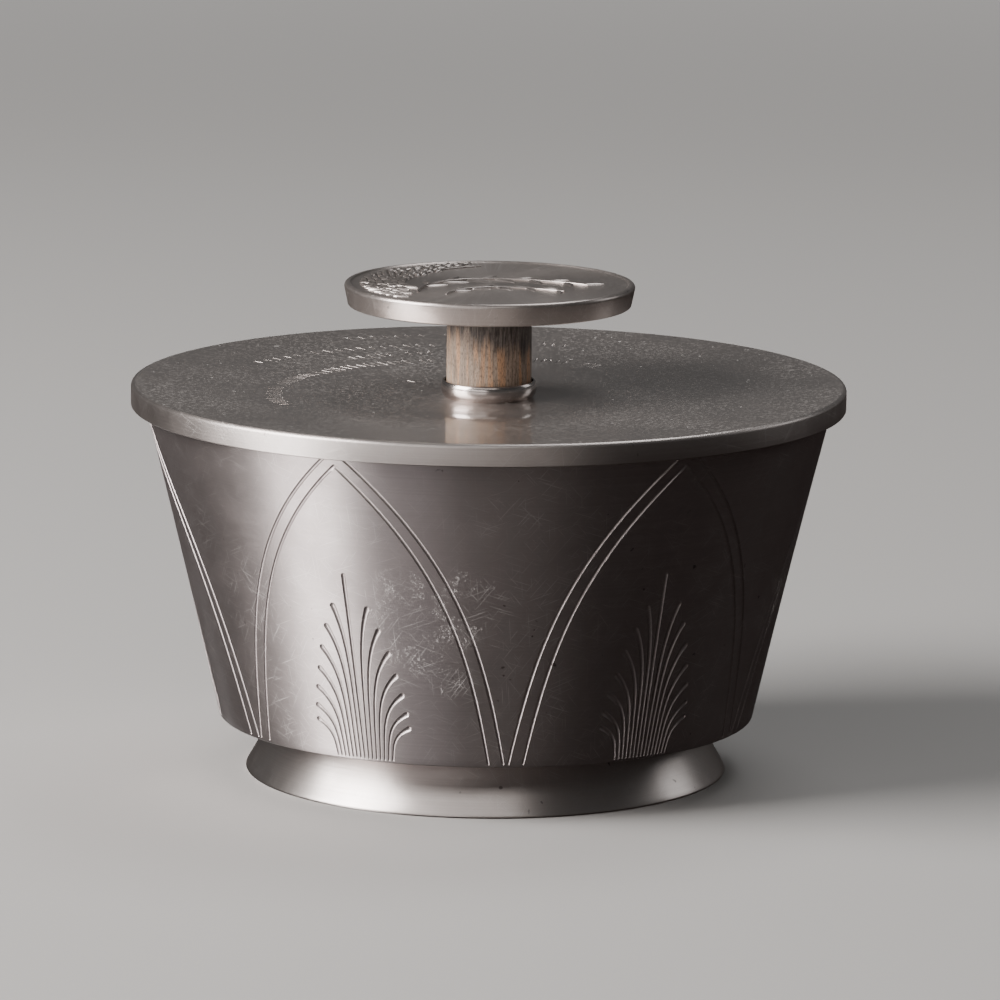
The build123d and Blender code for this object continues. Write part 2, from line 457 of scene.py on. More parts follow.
bowl_points = bowl_outline()
bowl = turned("bowl_body_engraved", bowl_points)
tools = []
for side in (-1, 1):
    lines = []
    for half_width, apex_z in ((29.45, MOUTH_Z - 1.1 * MM), (26.4, MOUTH_Z - 4.6 * MM)):
        path = arch_line(half_width, apex_z, side)
        count = len(path)
        widths = [LINE_WIDTH * min(1.0, 0.7 + 1.5 * i / count) for i in range(count)]
        depths = [LINE_DEPTH * w / LINE_WIDTH for w in widths]
        lines.append((path, widths, depths))
    tools.append(wall_strokes(f"arch_lines_{side}", lines))
middle = []
for i in range(FAN_MIDDLE_POINTS):
    share = i / (FAN_MIDDLE_POINTS - 1)
    middle.append((FAN_MIDDLE_LEAN * share, FAN_FOOT_Z + FAN_MIDDLE_TOP * share))
widths = flare(FAN_MIDDLE_POINTS, STROKE_FOOT_WIDTH, 1.05 * MM, 1.0)
depths = flare(FAN_MIDDLE_POINTS, STROKE_FOOT_DEPTH, 0.24 * MM, 1.0)
strokes = [(middle, widths, depths)]
for rank in range(FAN_STROKES):
    for side in (-1, 1):
        path = fan_stroke(rank, side)
        count = len(path)
        tip = (1.45 - 0.05 * rank) * MM
        widths = flare(count, STROKE_FOOT_WIDTH, tip)
        strokes.append((path, widths, flare(count, STROKE_FOOT_DEPTH, 0.27 * MM)))
tools.append(wall_strokes("fan_strokes", strokes))
worked(bowl, tools, "DIFFERENCE")
dress_normals(bowl, bowl_points)
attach(bowl, "bowl")
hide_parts("bowl_body")

# ---- foot ------------------------------------------------------------------------
FLARE_STEPS = 12


def foot_outline():
    flange_z = FOOT_TOP - 1.2 * MM
    lip = (FOOT_R + 0.25 * MM - 0.49 * MM, 0.5 * MM)
    outside = bowed(lip, (FOOT_JOINT_R, FOOT_TOP), 0.25 * MM, FLARE_STEPS)
    points = softened(
        [
            (lip[0] - FOOT_WALL, 0.0, 0.25 * MM),
            (FOOT_R + 0.02 * MM, 0.0, 0.4 * MM),
            (*outside[1], 0),
        ]
    )[:-1]
    points += outside[1:]
    points += [(FOOT_JOINT_R, FOOT_TOP), (FOOT_FLANGE_R, FOOT_TOP), (FOOT_FLANGE_R, flange_z)]
    inside = bowed(
        (FOOT_JOINT_R - FOOT_WALL, flange_z), (lip[0] - FOOT_WALL, 0.5 * MM), 0.25 * MM, FLARE_STEPS
    )
    return points + inside


foot_points = foot_outline()
foot = turned("foot_ring_flared", foot_points)
dress_normals(foot, foot_points)
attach(foot, "bowl")
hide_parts("foot_ring")


# ---- lid -------------------------------------------------------------------------
DISH_EDGE_R = LID_R - 1.0 * MM


def dish_z(r):
    return PAD_Z + (LID_TOP - PAD_Z) * (r - PAD_R) / (DISH_EDGE_R - PAD_R)


def lid_outline():
    under_z = PAD_Z - LID_THICKNESS
    inner = LID_R - LID_RIM_WALL
    return softened(
        [
            (STUD_HOLE_R, under_z, 0),
            (PAD_R, under_z, 1.0 * MM),
            (LID_SEAT_R, MOUTH_Z, 0),
            (inner, MOUTH_Z, 0.2 * MM),
            (inner, LID_RIM_LOW, 0.25 * MM),
            (LID_R, LID_RIM_LOW, 0.3 * MM),
            (LID_R, LID_TOP, 0.8 * MM),
            (DISH_EDGE_R - 0.2 * MM, LID_TOP, 0.1 * MM),
            (PAD_R, PAD_Z, 4.0 * MM),
            (STUD_HOLE_R, PAD_Z, 0),
        ],
        8,
    )


def on_lid(azimuth, r):
    """Point and normal of the lid's dished top."""
    a = math.radians(azimuth)
    out = Vector((math.sin(a), -math.cos(a), 0))
    fall = (LID_TOP - PAD_Z) / (DISH_EDGE_R - PAD_R)
    return out * r + Vector((0, 0, dish_z(r))), (Vector((0, 0, 1)) - out * fall).normalized()


# Bands of short plain strokes: (first azimuth, last azimuth, radius at each, length, pitch).
STROKE_BANDS = (
    (186, 207, 64.6, 64.8, 2.0, 2.5),
    (190, 238, 54.2, 56.4, 2.4, 3.1),
    (193, 218, 46.8, 47.3, 2.9, 2.7),
    (196, 241, 38.4, 41.2, 3.3, 2.9),
    (243, 297, 41.4, 47.8, 2.9, 2.0),
    (142, 166, 39.2, 40.0, 3.0, 2.3),
    (161, 170, 56.0, 56.0, 2.2, 2.3),
    (224, 231, 22.0, 21.0, 2.4, 4.5),
)
STROKE_WIDTH = 0.60 * MM
STROKE_DEPTH = 0.17 * MM


def band_strokes(verts, faces, first, last, first_r, last_r, length, pitch):
    """A band of short radial strokes, some of them slanted, with gaps."""
    azimuth = first
    while azimuth < last:
        share = (azimuth - first) / (last - first)
        radius = first_r + (last_r - first_r) * share + RNG.uniform(-0.3, 0.3)
        slant = RNG.uniform(-0.1, 0.3) * pitch
        size = length * RNG.uniform(0.7, 1.1)
        wide = STROKE_WIDTH * RNG.uniform(0.7, 1.35)
        azimuth += pitch * RNG.uniform(0.85, 1.15)
        if RNG.random() < 0.12:
            continue
        path = [
            on_lid(azimuth + slant * (t - 0.5), (radius + size * (t - 0.5)) * MM)
            for t in (0, 0.33, 0.67, 1)
        ]
        depth = STROKE_DEPTH * wide / STROKE_WIDTH
        points = [p for p, _ in path]
        groove(verts, faces, points, [n for _, n in path], [wide] * 4, [depth] * 4)


lid_points = lid_outline()
lid = turned("lid_plate_dished", lid_points)
verts, faces = [], []
for band in STROKE_BANDS:
    band_strokes(verts, faces, *band)
worked(lid, [tool_object("lid_strokes", verts, faces)], "DIFFERENCE")
dress_normals(lid, lid_points)
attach(lid, "lid")
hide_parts("lid_plate")


# ---- ferrule and stem ------------------------------------------------------------------
def ferrule_outline():
    """A shallow cup, widest near its lip."""
    floor_z = PAD_Z + 0.8 * MM
    inner, top_r, foot_r = 9.35 * MM, 9.75 * MM, 9.2 * MM
    belly, belly_share, fullness = ferrule_hi.x, 0.62, 2.4
    height = ferrule_hi.z - PAD_Z - 0.1 * MM
    points = [(STUD_HOLE_R, PAD_Z)]
    steps = 16
    for i in range(steps + 1):
        t = i / steps
        if t < belly_share:
            r = belly - (belly - foot_r) * (1 - t / belly_share) ** fullness
        else:
            r = belly - (belly - top_r) * ((t - belly_share) / (1 - belly_share)) ** fullness
        points.append((r, PAD_Z + height * t))
    points += [(top_r - 0.1 * MM, ferrule_hi.z), (inner + 0.05 * MM, ferrule_hi.z)]
    return points + [(inner, ferrule_hi.z - 0.08 * MM), (inner, floor_z), (STUD_HOLE_R, floor_z)]


ferrule_points = ferrule_outline()
ferrule = turned("knob_ferrule_domed", ferrule_points, 192)
dress_normals(ferrule, ferrule_points)
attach(ferrule, "lid")
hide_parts("knob_ferrule")

STEM_R = stem_hi.x
stem_points = softened(
    [
        (STUD_HOLE_R, stem_lo.z, 0),
        (STEM_R, stem_lo.z, 0.25 * MM),
        (STEM_R, stem_hi.z, 0.1 * MM),
        (STUD_HOLE_R, stem_hi.z, 0),
    ]
)
stem = turned("knob_stem_turned", stem_points, 192)
dress_normals(stem, stem_points)
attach(stem, "lid")
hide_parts("knob_stem")

# ---- knob disc ------------------------------------------------------------------------------
FIELD_Z = DISC_TOP - DISC_FIELD_DEPTH


def disc_outline():
    bore_top = stud_hi.z
    bore_r = stud_hi.x
    return softened(
        [
            (bore_r, DISC_LOW, 0),
            (DISC_LOW_R, DISC_LOW, 0.4 * MM),
            (DISC_R + 0.05 * MM, DISC_TOP, 0.85 * MM),
            (DISC_FIELD_R, DISC_TOP, 0.1 * MM),
            (DISC_FIELD_R - 0.35 * MM, FIELD_Z, 0.15 * MM),
            (0, FIELD_Z, 0),
            (0, bore_top, 0),
            (bore_r, bore_top, 0),
        ],
        6,
    )


def leaf(verts, faces, x, y, heading, length, width, height):
    """A closed, ridged leaf that stands out of the knob's field, pointed at the tip."""
    steps, sides = 8, 8
    a = math.radians(heading)
    ahead, side = Vector((math.cos(a), math.sin(a), 0)), Vector((-math.sin(a), math.cos(a), 0))
    root = Vector((x, y, FIELD_Z))
    rings = []
    for i in range(steps + 1):
        t = 0.03 + 0.94 * i / steps
        centre = root + ahead * length * t + side * 0.10 * length * math.sin(math.pi * t)
        half = width / 2 * math.sin(math.pi * t ** 0.8) ** 0.8 + 0.02 * MM
        rise = height * (half / (width / 2)) ** 0.6
        ring = []
        for k in range(sides):
            turn = 2 * math.pi * k / sides
            lift = rise * max(math.sin(turn), -0.6)
            ring.append(centre + side * half * math.cos(turn) + Vector((0, 0, lift)))
        rings.append(ring)
    skin(verts, faces, rings)


def ridge(verts, faces, points, width, height):
    """A raised line along points in the knob's field."""
    up = Vector((0, 0, 1))
    path = [Vector((x * MM, y * MM, FIELD_Z + height - width / 2)) for x, y in points]
    rings = []
    for i, (p, side, _, _) in enumerate(frames_along(path, [up] * len(path))):
        radius = width / 2 * (0.55 if i in (0, len(path) - 1) else 1)
        turns = [2 * math.pi * k / 8 for k in range(8)]
        rings.append([p + (side * math.cos(a) + up * math.sin(a)) * radius for a in turns])
    skin(verts, faces, rings)


disc_points = disc_outline()
disc = turned("knob_disc_worked", disc_points, 288)
LEAF_ROWS = (                  # (radius, first azimuth, last azimuth) of the leafy band
    (27.2, 98, 228), (25.6, 99, 225), (24.0, 103, 221), (22.4, 110, 216), (20.8, 120, 211),
    (19.4, 132, 204),
)
LEAF_TOOLS = 4                 # tools per row, so that the leaves within one tool stay clear
relief = []


def relief_tool(name, shapes):
    """One closed tool from (maker, arguments) pairs whose shapes stay clear of each other."""
    verts, faces = [], []
    for maker, arguments in shapes:
        maker(verts, faces, *arguments)
    relief.append(tool_object(name, verts, faces))


for row, (radius, first, last) in enumerate(LEAF_ROWS):
    pitch = 5.2 + 0.35 * row
    leaves = []
    for i in range(int((last - first) / pitch)):
        around = first + (i + 0.5 * (row % 2)) * pitch + RNG.uniform(-0.6, 0.6)
        a = math.radians(around)
        heading = around + 126 + RNG.uniform(-10, 10)
        size = RNG.uniform(0.85, 1.15)
        x, y = math.cos(a) * radius * MM, math.sin(a) * radius * MM
        shape = (3.7 * MM * size, 1.25 * MM * size, 0.55 * MM * RNG.uniform(0.8, 1.15))
        leaves.append((leaf, (x, y, heading, *shape)))
    for part in range(LEAF_TOOLS):
        relief_tool(f"leaves_{row}_{part}", leaves[part::LEAF_TOOLS])


def curve(places, steps=18):
    """Points, in millimetres, on the smooth curve that four places steer."""
    points = []
    for i in range(steps + 1):
        t = i / steps
        shares = ((1 - t) ** 3, 3 * t * (1 - t) ** 2, 3 * t ** 2 * (1 - t), t ** 3)
        points.append(tuple(sum(w * p[k] for w, p in zip(shares, places)) for k in (0, 1)))
    return points


BAND_EDGE = ((-2.0, 23.0), (-15.0, 16.5), (-24.0, 4.0), (-19.0, -11.0))
LONG_STEM = ((-15.0, -12.5), (-14.0, 8.0), (4.0, 9.5), (20.5, -1.5))
SHORT_STEM = ((-9.0, -15.5), (-7.0, -5.0), (5.0, -3.0), (15.5, -10.5))
relief_tool("band_edge", [(ridge, (curve(BAND_EDGE, 30), 0.42 * MM, 0.30 * MM))])


def sprig(name, stem, every, length, width):
    """A plain sprig: a raised stem with leaves on alternate sides and one at its tip."""
    relief_tool(name, [(ridge, (curve(stem, 30), 0.60 * MM, 0.40 * MM))])
    spots = curve(stem, 40)
    for order, place in enumerate(range(6, 41, every)):
        x, y = spots[place]
        x0, y0 = spots[place - 1]
        swing = 8 if place == 40 else (44 if order % 2 else -48)
        heading = math.degrees(math.atan2(y - y0, x - x0)) + swing
        grown = 1 - 0.25 * abs(place / 20 - 1)
        shape = (x * MM, y * MM, heading, length * grown * MM, width * grown * MM, 0.34 * MM)
        relief_tool(f"{name}_leaf_{order}", [(leaf, shape)])


sprig("long_sprig", LONG_STEM, 3, 6.4, 2.3)
sprig("short_sprig", SHORT_STEM, 4, 4.6, 1.7)
worked(disc, relief, "UNION")
dress_normals(disc, disc_points, crease=50)
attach(disc, "lid")
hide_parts("knob_disc")


# ---- fixing under the lid ------------------------------------------------------------------
THREAD_PITCH = 0.8 * MM
THREAD_DEPTH = 0.35 * MM


def threaded_rod(name, r, z0, z1, pitch, depth):
    """A rod with a helical thread that fades out at both closed ends."""
    per_turn, rows = 24, 6
    verts, faces = [], []
    count = int((z1 - z0) / (pitch / rows))
    for i in range(count + 1):
        z = z0 + (z1 - z0) * i / count
        for k in range(per_turn):
            phase = (z - z0) / pitch - k / per_turn
            tooth = abs((phase % 1) * 2 - 1)
            end = min(1.0, i / rows, (count - i) / rows)
            radius = r - depth * (1 - tooth * end)
            a = 2 * math.pi * k / per_turn
            verts.append((radius * math.cos(a), radius * math.sin(a), z))
    for i in range(count):
        for k in range(per_turn):
            n = (k + 1) % per_turn
            low, high = i * per_turn, (i + 1) * per_turn
            faces.append((low + k, low + n, high + n, high + k))
    faces.append(tuple(reversed(range(per_turn))))
    faces.append(tuple(count * per_turn + k for k in range(per_turn)))
    return mesh_object(name, verts, faces)


stud = threaded_rod(
    "knob_stud_threaded", stud_hi.x, stud_lo.z, stud_hi.z, THREAD_PITCH, THREAD_DEPTH
)
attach(stud, "lid")
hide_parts("knob_stud")


# ---- materials ---------------------------------------------------------------------------------
class Shader:
    """Small helper that adds and links nodes of one material."""

    def __init__(self, name):
        self.material = bpy.data.materials.new(name)
        self.material.use_nodes = True
        self.tree = self.material.node_tree
        self.tree.nodes.clear()
        self.bsdf = self.node("ShaderNodeBsdfPrincipled")
        output = self.node("ShaderNodeOutputMaterial")
        self.tree.links.new(self.bsdf.outputs["BSDF"], output.inputs["Surface"])
        self.object_xyz = self.node("ShaderNodeTexCoord").outputs["Object"]

    def node(self, kind, **settings):
        made = self.tree.nodes.new(kind)
        for key, value in settings.items():
            setattr(made, key, value)
        return made

    def put(self, socket, value):
        if isinstance(value, bpy.types.NodeSocket):
            self.tree.links.new(value, socket)
        else:
            socket.default_value = value

    def math(self, operation, a, b=0.0, c=0.0, clamp=False):
        made = self.node("ShaderNodeMath", operation=operation, use_clamp=clamp)
        for socket, value in zip(made.inputs, (a, b, c)):
            self.put(socket, value)
        return made.outputs[0]

    def scaled(self, vector, factors):
        made = self.node("ShaderNodeVectorMath", operation="MULTIPLY")
        self.put(made.inputs[0], vector)
        self.put(made.inputs[1], factors)
        return made.outputs[0]

    def combine(self, x, y, z):
        made = self.node("ShaderNodeCombineXYZ")
        for socket, value in zip(made.inputs, (x, y, z)):
            self.put(socket, value)
        return made.outputs[0]

    def noise(self, vector, scale, detail=3.0, rough=0.55, warp=0.0):
        made = self.node("ShaderNodeTexNoise")
        self.put(made.inputs["Vector"], vector)
        made.inputs["Scale"].default_value = scale
        made.inputs["Detail"].default_value = detail
        made.inputs["Roughness"].default_value = rough
        made.inputs["Distortion"].default_value = warp
        return made.outputs["Fac"]

    def ramp(self, value, low, high, out_low=0.0, out_high=1.0):
        made = self.node("ShaderNodeMapRange", interpolation_type="SMOOTHSTEP")
        for key, number in zip(
            ("Value", "From Min", "From Max", "To Min", "To Max"),
            (value, low, high, out_low, out_high),
        ):
            self.put(made.inputs[key], number)
        return made.outputs["Result"]

    def blend(self, factor, first, second, mode="MIX"):
        made = self.node("ShaderNodeMix", data_type="RGBA", blend_type=mode)
        self.put(made.inputs["Factor"], factor)
        self.put(made.inputs[6], first)
        self.put(made.inputs[7], second)
        return made.outputs[2]

    def bump(self, height, strength, distance, before=None):
        made = self.node("ShaderNodeBump")
        made.inputs["Strength"].default_value = strength
        made.inputs["Distance"].default_value = distance
        self.put(made.inputs["Height"], height)
        if before is not None:
            self.put(made.inputs["Normal"], before)
        return made.outputs["Normal"]

    def place(self):
        """x, y and z of the place on the object, as sockets."""
        split = self.node("ShaderNodeSeparateXYZ")
        self.put(split.inputs[0], self.object_xyz)
        return split.outputs

    def around(self):
        """Radius from the vertical axis, azimuth in radians and height, as sockets."""
        x, y, z = self.place()
        radius = self.math("SQRT", self.math("MULTIPLY_ADD", x, x, self.math("MULTIPLY", y, y)))
        return radius, self.math("ARCTAN2", x, self.math("MULTIPLY", y, -1.0)), z


def rubbed_patches(s, scuffs):
    """Broken pale marks and crossing hairlines inside soft patches on the bowl's wall."""
    near = None
    for azimuth, z, size in scuffs:
        centre = on_wall(azimuth, z * MM)[0]
        made = s.node("ShaderNodeVectorMath", operation="DISTANCE")
        s.put(made.inputs[0], s.object_xyz)
        made.inputs[1].default_value = tuple(centre)
        patch = s.ramp(made.outputs["Value"], size * MM, size * 0.3 * MM)
        near = patch if near is None else s.math("MAXIMUM", near, patch)
    grit = s.ramp(s.noise(s.object_xyz, 1100.0, 4.0, 0.75, 2.0), 0.54, 0.63)
    clump = s.ramp(s.noise(s.object_xyz, 190.0, 3.0, 0.6, 0.8), 0.49, 0.58)
    deep = s.ramp(near, 0.35, 0.85)
    return s.math("MULTIPLY", s.math("MULTIPLY", grit, clump), deep), near


def hairlines(s, unrolled):
    """Fine straight scratches that cross each other in several directions."""
    hairs = None
    for turn, length, low in (
        (0.35, 1.0, 0.66), (0.9, 1.3, 0.67), (1.5, 0.8, 0.68), (2.2, 1.1, 0.66), (2.75, 0.9, 0.665),
    ):
        spun = s.node("ShaderNodeVectorRotate", rotation_type="Z_AXIS")
        s.put(spun.inputs["Vector"], unrolled)
        spun.inputs["Angle"].default_value = turn
        stretched = s.scaled(spun.outputs[0], (105.0 * length, 4600.0, 1.0))
        line = s.ramp(s.noise(stretched, 1.0, 1.5, 0.5, 0.15), low, low + 0.05)
        hairs = line if hairs is None else s.math("MAXIMUM", hairs, line)
    return hairs


def pewter(name, base, dark, roughness, spin_along="z", spin=0.3, scratches=0.5,
           anisotropy=0.0, metal=1.0, dust=0.0, lacquer=0.0, scuffs=()):
    """Aged pewter: spinning marks, hairline scratches, cloudy patina and small pits.

    dust: share of pale specks. lacquer: weight of a smooth clear film over the metal.
    scuffs: (azimuth, z, size) of rubbed patches, in degrees and millimetres.
    """
    s = Shader(name)
    radius, azimuth, z = s.around()
    run = s.math("MULTIPLY", azimuth, 0.06)
    across = z if spin_along == "z" else radius
    unrolled = s.combine(run, across, 0.0)
    rings = s.noise(s.scaled(unrolled, (14.0, 2600.0, 1.0)), 1.0, 4.0, 0.6)
    fine_rings = s.noise(s.scaled(unrolled, (60.0, 9000.0, 1.0)), 1.0, 2.0, 0.6)
    cloud = s.noise(s.object_xyz, 28.0, 5.0, 0.6, 0.4)
    blotch = s.noise(s.object_xyz, 95.0, 4.0, 0.65)
    wear_and_lit_side = s.ramp(s.noise(s.object_xyz, 40.0, 3.0, 0.6), 0.36, 0.60, 0.25, 1.0)
    hairs = s.math("MULTIPLY", hairlines(s, unrolled), wear_and_lit_side)
    pits = s.ramp(s.noise(s.object_xyz, 460.0, 2.0, 0.5), 0.715, 0.76)
    pits = s.math("MULTIPLY", pits, s.ramp(s.noise(s.object_xyz, 18.0, 2.0, 0.5), 0.42, 0.60))

    patina = s.math("MULTIPLY", s.ramp(cloud, 0.3, 0.72), 0.7)
    patina = s.math("ADD", patina, s.math("MULTIPLY", s.ramp(blotch, 0.3, 0.75), 0.3))
    colour = s.blend(patina, base, dark)
    brushed = s.math("MULTIPLY", s.ramp(rings, 0.35, 0.65), 0.35)
    colour = s.blend(brushed, colour, dark)
    colour = s.blend(s.math("MULTIPLY", pits, 0.6), colour, (0.06, 0.040, 0.034, 1))
    colour = s.blend(s.math("MULTIPLY", hairs, scratches), colour, (0.80, 0.77, 0.75, 1))
    rough = s.ramp(patina, 0.0, 1.0, roughness * 0.88, roughness * 1.12)
    rough = s.math("MULTIPLY_ADD", rings, 0.08, rough)
    rough = s.math("MULTIPLY_ADD", hairs, 0.2 * scratches, rough)
    metallic = metal
    if dust:
        grain = s.ramp(s.noise(s.object_xyz, 1250.0, 3.0, 0.8), 0.52, 0.60)
        specks = s.ramp(s.noise(s.object_xyz, 760.0, 1.0, 0.5), 0.765, 0.785)
        thick = s.ramp(s.noise(s.object_xyz, 26.0, 3.0, 0.6), 0.34, 0.66, 0.35, 1.0)
        flecks = s.math("MULTIPLY", s.math("MULTIPLY", grain, thick), 0.33)
        flecks = s.math("MULTIPLY", s.math("MAXIMUM", flecks, specks), dust)
        colour = s.blend(flecks, colour, (0.78, 0.755, 0.73, 1))
        metallic = s.math("SUBTRACT", metal, flecks, clamp=True)
        rough = s.math("MULTIPLY_ADD", flecks, 0.4, rough)
    if scuffs:
        rubbed, near = rubbed_patches(s, scuffs)
        rubbed = s.math("MAXIMUM", rubbed, s.math("MULTIPLY", s.math("MULTIPLY", hairs, near), 0.5))
        colour = s.blend(s.math("MULTIPLY", rubbed, 0.75), colour, (0.86, 0.83, 0.81, 1))
        metallic = s.math("SUBTRACT", metal, s.math("MULTIPLY", rubbed, 0.40), clamp=True)
        rough = s.math("MULTIPLY_ADD", rubbed, 0.12, rough)
    s.put(s.bsdf.inputs["Base Color"], colour)
    s.put(s.bsdf.inputs["Metallic"], metallic)
    s.put(s.bsdf.inputs["Roughness"], rough)
    s.bsdf.inputs["Coat Weight"].default_value = lacquer
    s.bsdf.inputs["Coat Roughness"].default_value = 0.035
    if anisotropy:
        s.bsdf.inputs["Anisotropic"].default_value = anisotropy
        s.bsdf.inputs["Anisotropic Rotation"].default_value = 0.25
        tangent = s.node("ShaderNodeTangent", direction_type="RADIAL", axis="Z")
        s.put(s.bsdf.inputs["Tangent"], tangent.outputs[0])
    wobble = s.bump(s.noise(s.object_xyz, 22.0, 2.0, 0.5), 0.3, 0.0008)
    normal = s.bump(rings, spin, 0.00004, wobble)
    normal = s.bump(fine_rings, spin, 0.000012, normal)
    normal = s.bump(hairs, -scratches, 0.00003, normal)
    normal = s.bump(pits, -0.5, 0.00004, normal)
    s.put(s.bsdf.inputs["Normal"], normal)
    if lacquer:
        s.put(s.bsdf.inputs["Coat Normal"], wobble)
    return s.material


def cut_metal(name, base, low=0.24, high=0.36, metal=1.0):
    """Bright metal inside engraved lines and on raised work, darker where dirt gathers."""
    s = Shader(name)
    grain = s.noise(s.object_xyz, 1400.0, 3.0, 0.6)
    dirt = s.ramp(s.noise(s.object_xyz, 160.0, 4.0, 0.6), 0.45, 0.75)
    colour = s.blend(s.math("MULTIPLY", dirt, 0.35), base, (0.20, 0.175, 0.165, 1))
    s.put(s.bsdf.inputs["Base Color"], colour)
    s.bsdf.inputs["Metallic"].default_value = metal
    s.put(s.bsdf.inputs["Roughness"], s.ramp(grain, 0.3, 0.7, low, high))
    s.put(s.bsdf.inputs["Normal"], s.bump(grain, 0.3, 0.00002))
    return s.material


def wood(name):
    """Dark stained turned wood, tan with warm streaks lower down and on the left, with upright grain
    and pores. The lighter left side is painted light from the key softbox.
    """
    s = Shader(name)
    radius, azimuth, z = s.around()
    x = s.place()[0]
    run = s.math("MULTIPLY", azimuth, 0.009)
    unrolled = s.combine(run, z, radius)
    grain = s.noise(s.scaled(unrolled, (2600.0, 170.0, 900.0)), 1.0, 5.0, 0.66, 0.5)
    pores = s.noise(s.scaled(unrolled, (5200.0, 1100.0, 900.0)), 1.0, 2.0, 0.55)
    bands = s.noise(s.scaled(unrolled, (420.0, 60.0, 300.0)), 1.0, 3.0, 0.6, 0.3)
    streak = s.noise(s.scaled(unrolled, (620.0, 34.0, 1.0)), 1.0, 3.0, 0.6, 0.4)
    share = s.math("MULTIPLY_ADD", s.math("SUBTRACT", bands, 0.5), 0.013, z)
    # Painted light: this x term makes the left side, which faces the key softbox, lighter and warmer.
    share = s.math("MULTIPLY_ADD", x, 0.32, share)
    # Tan share: higher lower down and on the painted-lit left side; the top stays darker.
    wear_and_lit_side = s.ramp(share, stem_lo.z + 13.5 * MM, stem_lo.z + 8.5 * MM)
    # The warm orange streaks follow that share, so they also carry the painted light on the left.
    warm = s.math("MULTIPLY", s.ramp(streak, 0.50, 0.60), wear_and_lit_side)
    colour = s.blend(s.ramp(grain, 0.34, 0.68), (0.036, 0.030, 0.027, 1), (0.20, 0.172, 0.155, 1))
    tan = s.blend(s.ramp(grain, 0.30, 0.62), (0.19, 0.140, 0.108, 1), (0.48, 0.375, 0.295, 1))
    colour = s.blend(wear_and_lit_side, colour, tan)
    colour = s.blend(s.math("MULTIPLY", warm, 0.75), colour, (0.66, 0.375, 0.205, 1))
    dark_pores = s.math("MULTIPLY", s.ramp(pores, 0.50, 0.66), 0.55)
    colour = s.blend(dark_pores, colour, (0.050, 0.038, 0.032, 1))
    s.put(s.bsdf.inputs["Base Color"], colour)
    s.put(s.bsdf.inputs["Roughness"], s.ramp(grain, 0.3, 0.7, 0.45, 0.62))
    s.bsdf.inputs["Specular IOR Level"].default_value = 0.4
    normal = s.bump(grain, 0.5, 0.00012)
    normal = s.bump(pores, 0.6, 0.00010, normal)
    s.put(s.bsdf.inputs["Normal"], normal)
    return s.material


def fixing_steel(name):
    """Plain plated steel with fine grain and a little soiling."""
    s = Shader(name)
    grain = s.noise(s.object_xyz, 900.0, 3.0, 0.6)
    soil = s.ramp(s.noise(s.object_xyz, 220.0, 4.0, 0.6), 0.4, 0.75)
    s.put(s.bsdf.inputs["Base Color"], s.blend(soil, (0.52, 0.52, 0.50, 1), (0.30, 0.285, 0.26, 1)))
    s.bsdf.inputs["Metallic"].default_value = 1.0
    s.put(s.bsdf.inputs["Roughness"], s.ramp(soil, 0.0, 1.0, 0.30, 0.48))
    s.put(s.bsdf.inputs["Normal"], s.bump(grain, 0.3, 0.00004))
    return s.material


AGED = (0.57, 0.515, 0.505, 1)
AGED_DARK = (0.42, 0.370, 0.364, 1)
CLEAN = (0.70, 0.645, 0.620, 1)
CLEAN_DARK = (0.58, 0.525, 0.500, 1)
LID_TONE = (0.56, 0.505, 0.478, 1)
LID_DARK = (0.45, 0.402, 0.378, 1)
SCUFFS = (                     # (azimuth, z, size) of rubbed patches on the bowl's wall
    (-2.6, 49.5, 10), (-5.5, 44, 10), (-7, 31.5, 7), (-15, 46, 15), (-13, 38, 11),
    (72, 40, 13), (131, 55, 12), (168, 30, 10), (216, 44, 14), (262, 36, 11),
)
body_pewter = pewter("pewter_body", AGED, AGED_DARK, 0.34, spin=0.5, scratches=0.5,
                     anisotropy=0.65, metal=0.97, scuffs=SCUFFS)
rim_pewter = pewter("pewter_lid_rim", CLEAN, CLEAN_DARK, 0.36, spin=0.5, anisotropy=0.6)
foot_pewter = pewter("pewter_foot", CLEAN, CLEAN_DARK, 0.30, spin=0.5, anisotropy=0.5)
lid_pewter = pewter("pewter_lid", LID_TONE, LID_DARK, 0.29, "radius", spin=0.10, scratches=0.10,
                    metal=0.90, dust=0.9, lacquer=0.8)
disc_pewter = pewter("pewter_knob", LID_TONE, LID_DARK, 0.28, anisotropy=0.5, metal=0.92, dust=0.3)
collar_pewter = pewter("pewter_collar", AGED, AGED_DARK, 0.34, anisotropy=0.4)
ferrule_pewter = pewter("pewter_ferrule", CLEAN, CLEAN_DARK, 0.16, spin=0.08, scratches=0.2)
cut_body = cut_metal("pewter_cut_lines", (0.70, 0.665, 0.645, 1))
cut_lid = cut_metal("pewter_cut_strokes", (0.93, 0.90, 0.87, 1), 0.36, 0.48, 0.15)
cut_relief = cut_metal("pewter_relief", (0.58, 0.53, 0.50, 1), 0.28, 0.42, 0.90)
stained_wood = wood("wood_stained")
steel = fixing_steel("steel_plain")


def clothe(obj, *materials):
    obj.data.materials.clear()
    for material in materials:
        obj.data.materials.append(material)


clothe(bowl, body_pewter, cut_body)
clothe(foot, foot_pewter)
clothe(lid, lid_pewter, cut_lid, rim_pewter)
for face in lid.data.polygons:
    if face.material_index == 0 and math.hypot(*face.center[:2]) > DISH_EDGE_R:
        face.material_index = 2
clothe(ferrule, ferrule_pewter)
clothe(stem, stained_wood)
clothe(disc, disc_pewter, cut_relief)
clothe(stud, steel)
clothe(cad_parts["lid_locating_collar"], collar_pewter)
clothe(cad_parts["knob_washer"], steel)
clothe(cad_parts["knob_nut"], steel)

# ---- stage -----------------------------------------------------------------------------------------
FLOOR_R = 6.0
WALL_HEIGHT = 4.0
STAGE_SIDES = 96
FLOOR_COLOUR = (0.50, 0.49, 0.48, 1)
GLOW_FROM, GLOW_FULL, GLOW = 0.9, 2.1, 0.62


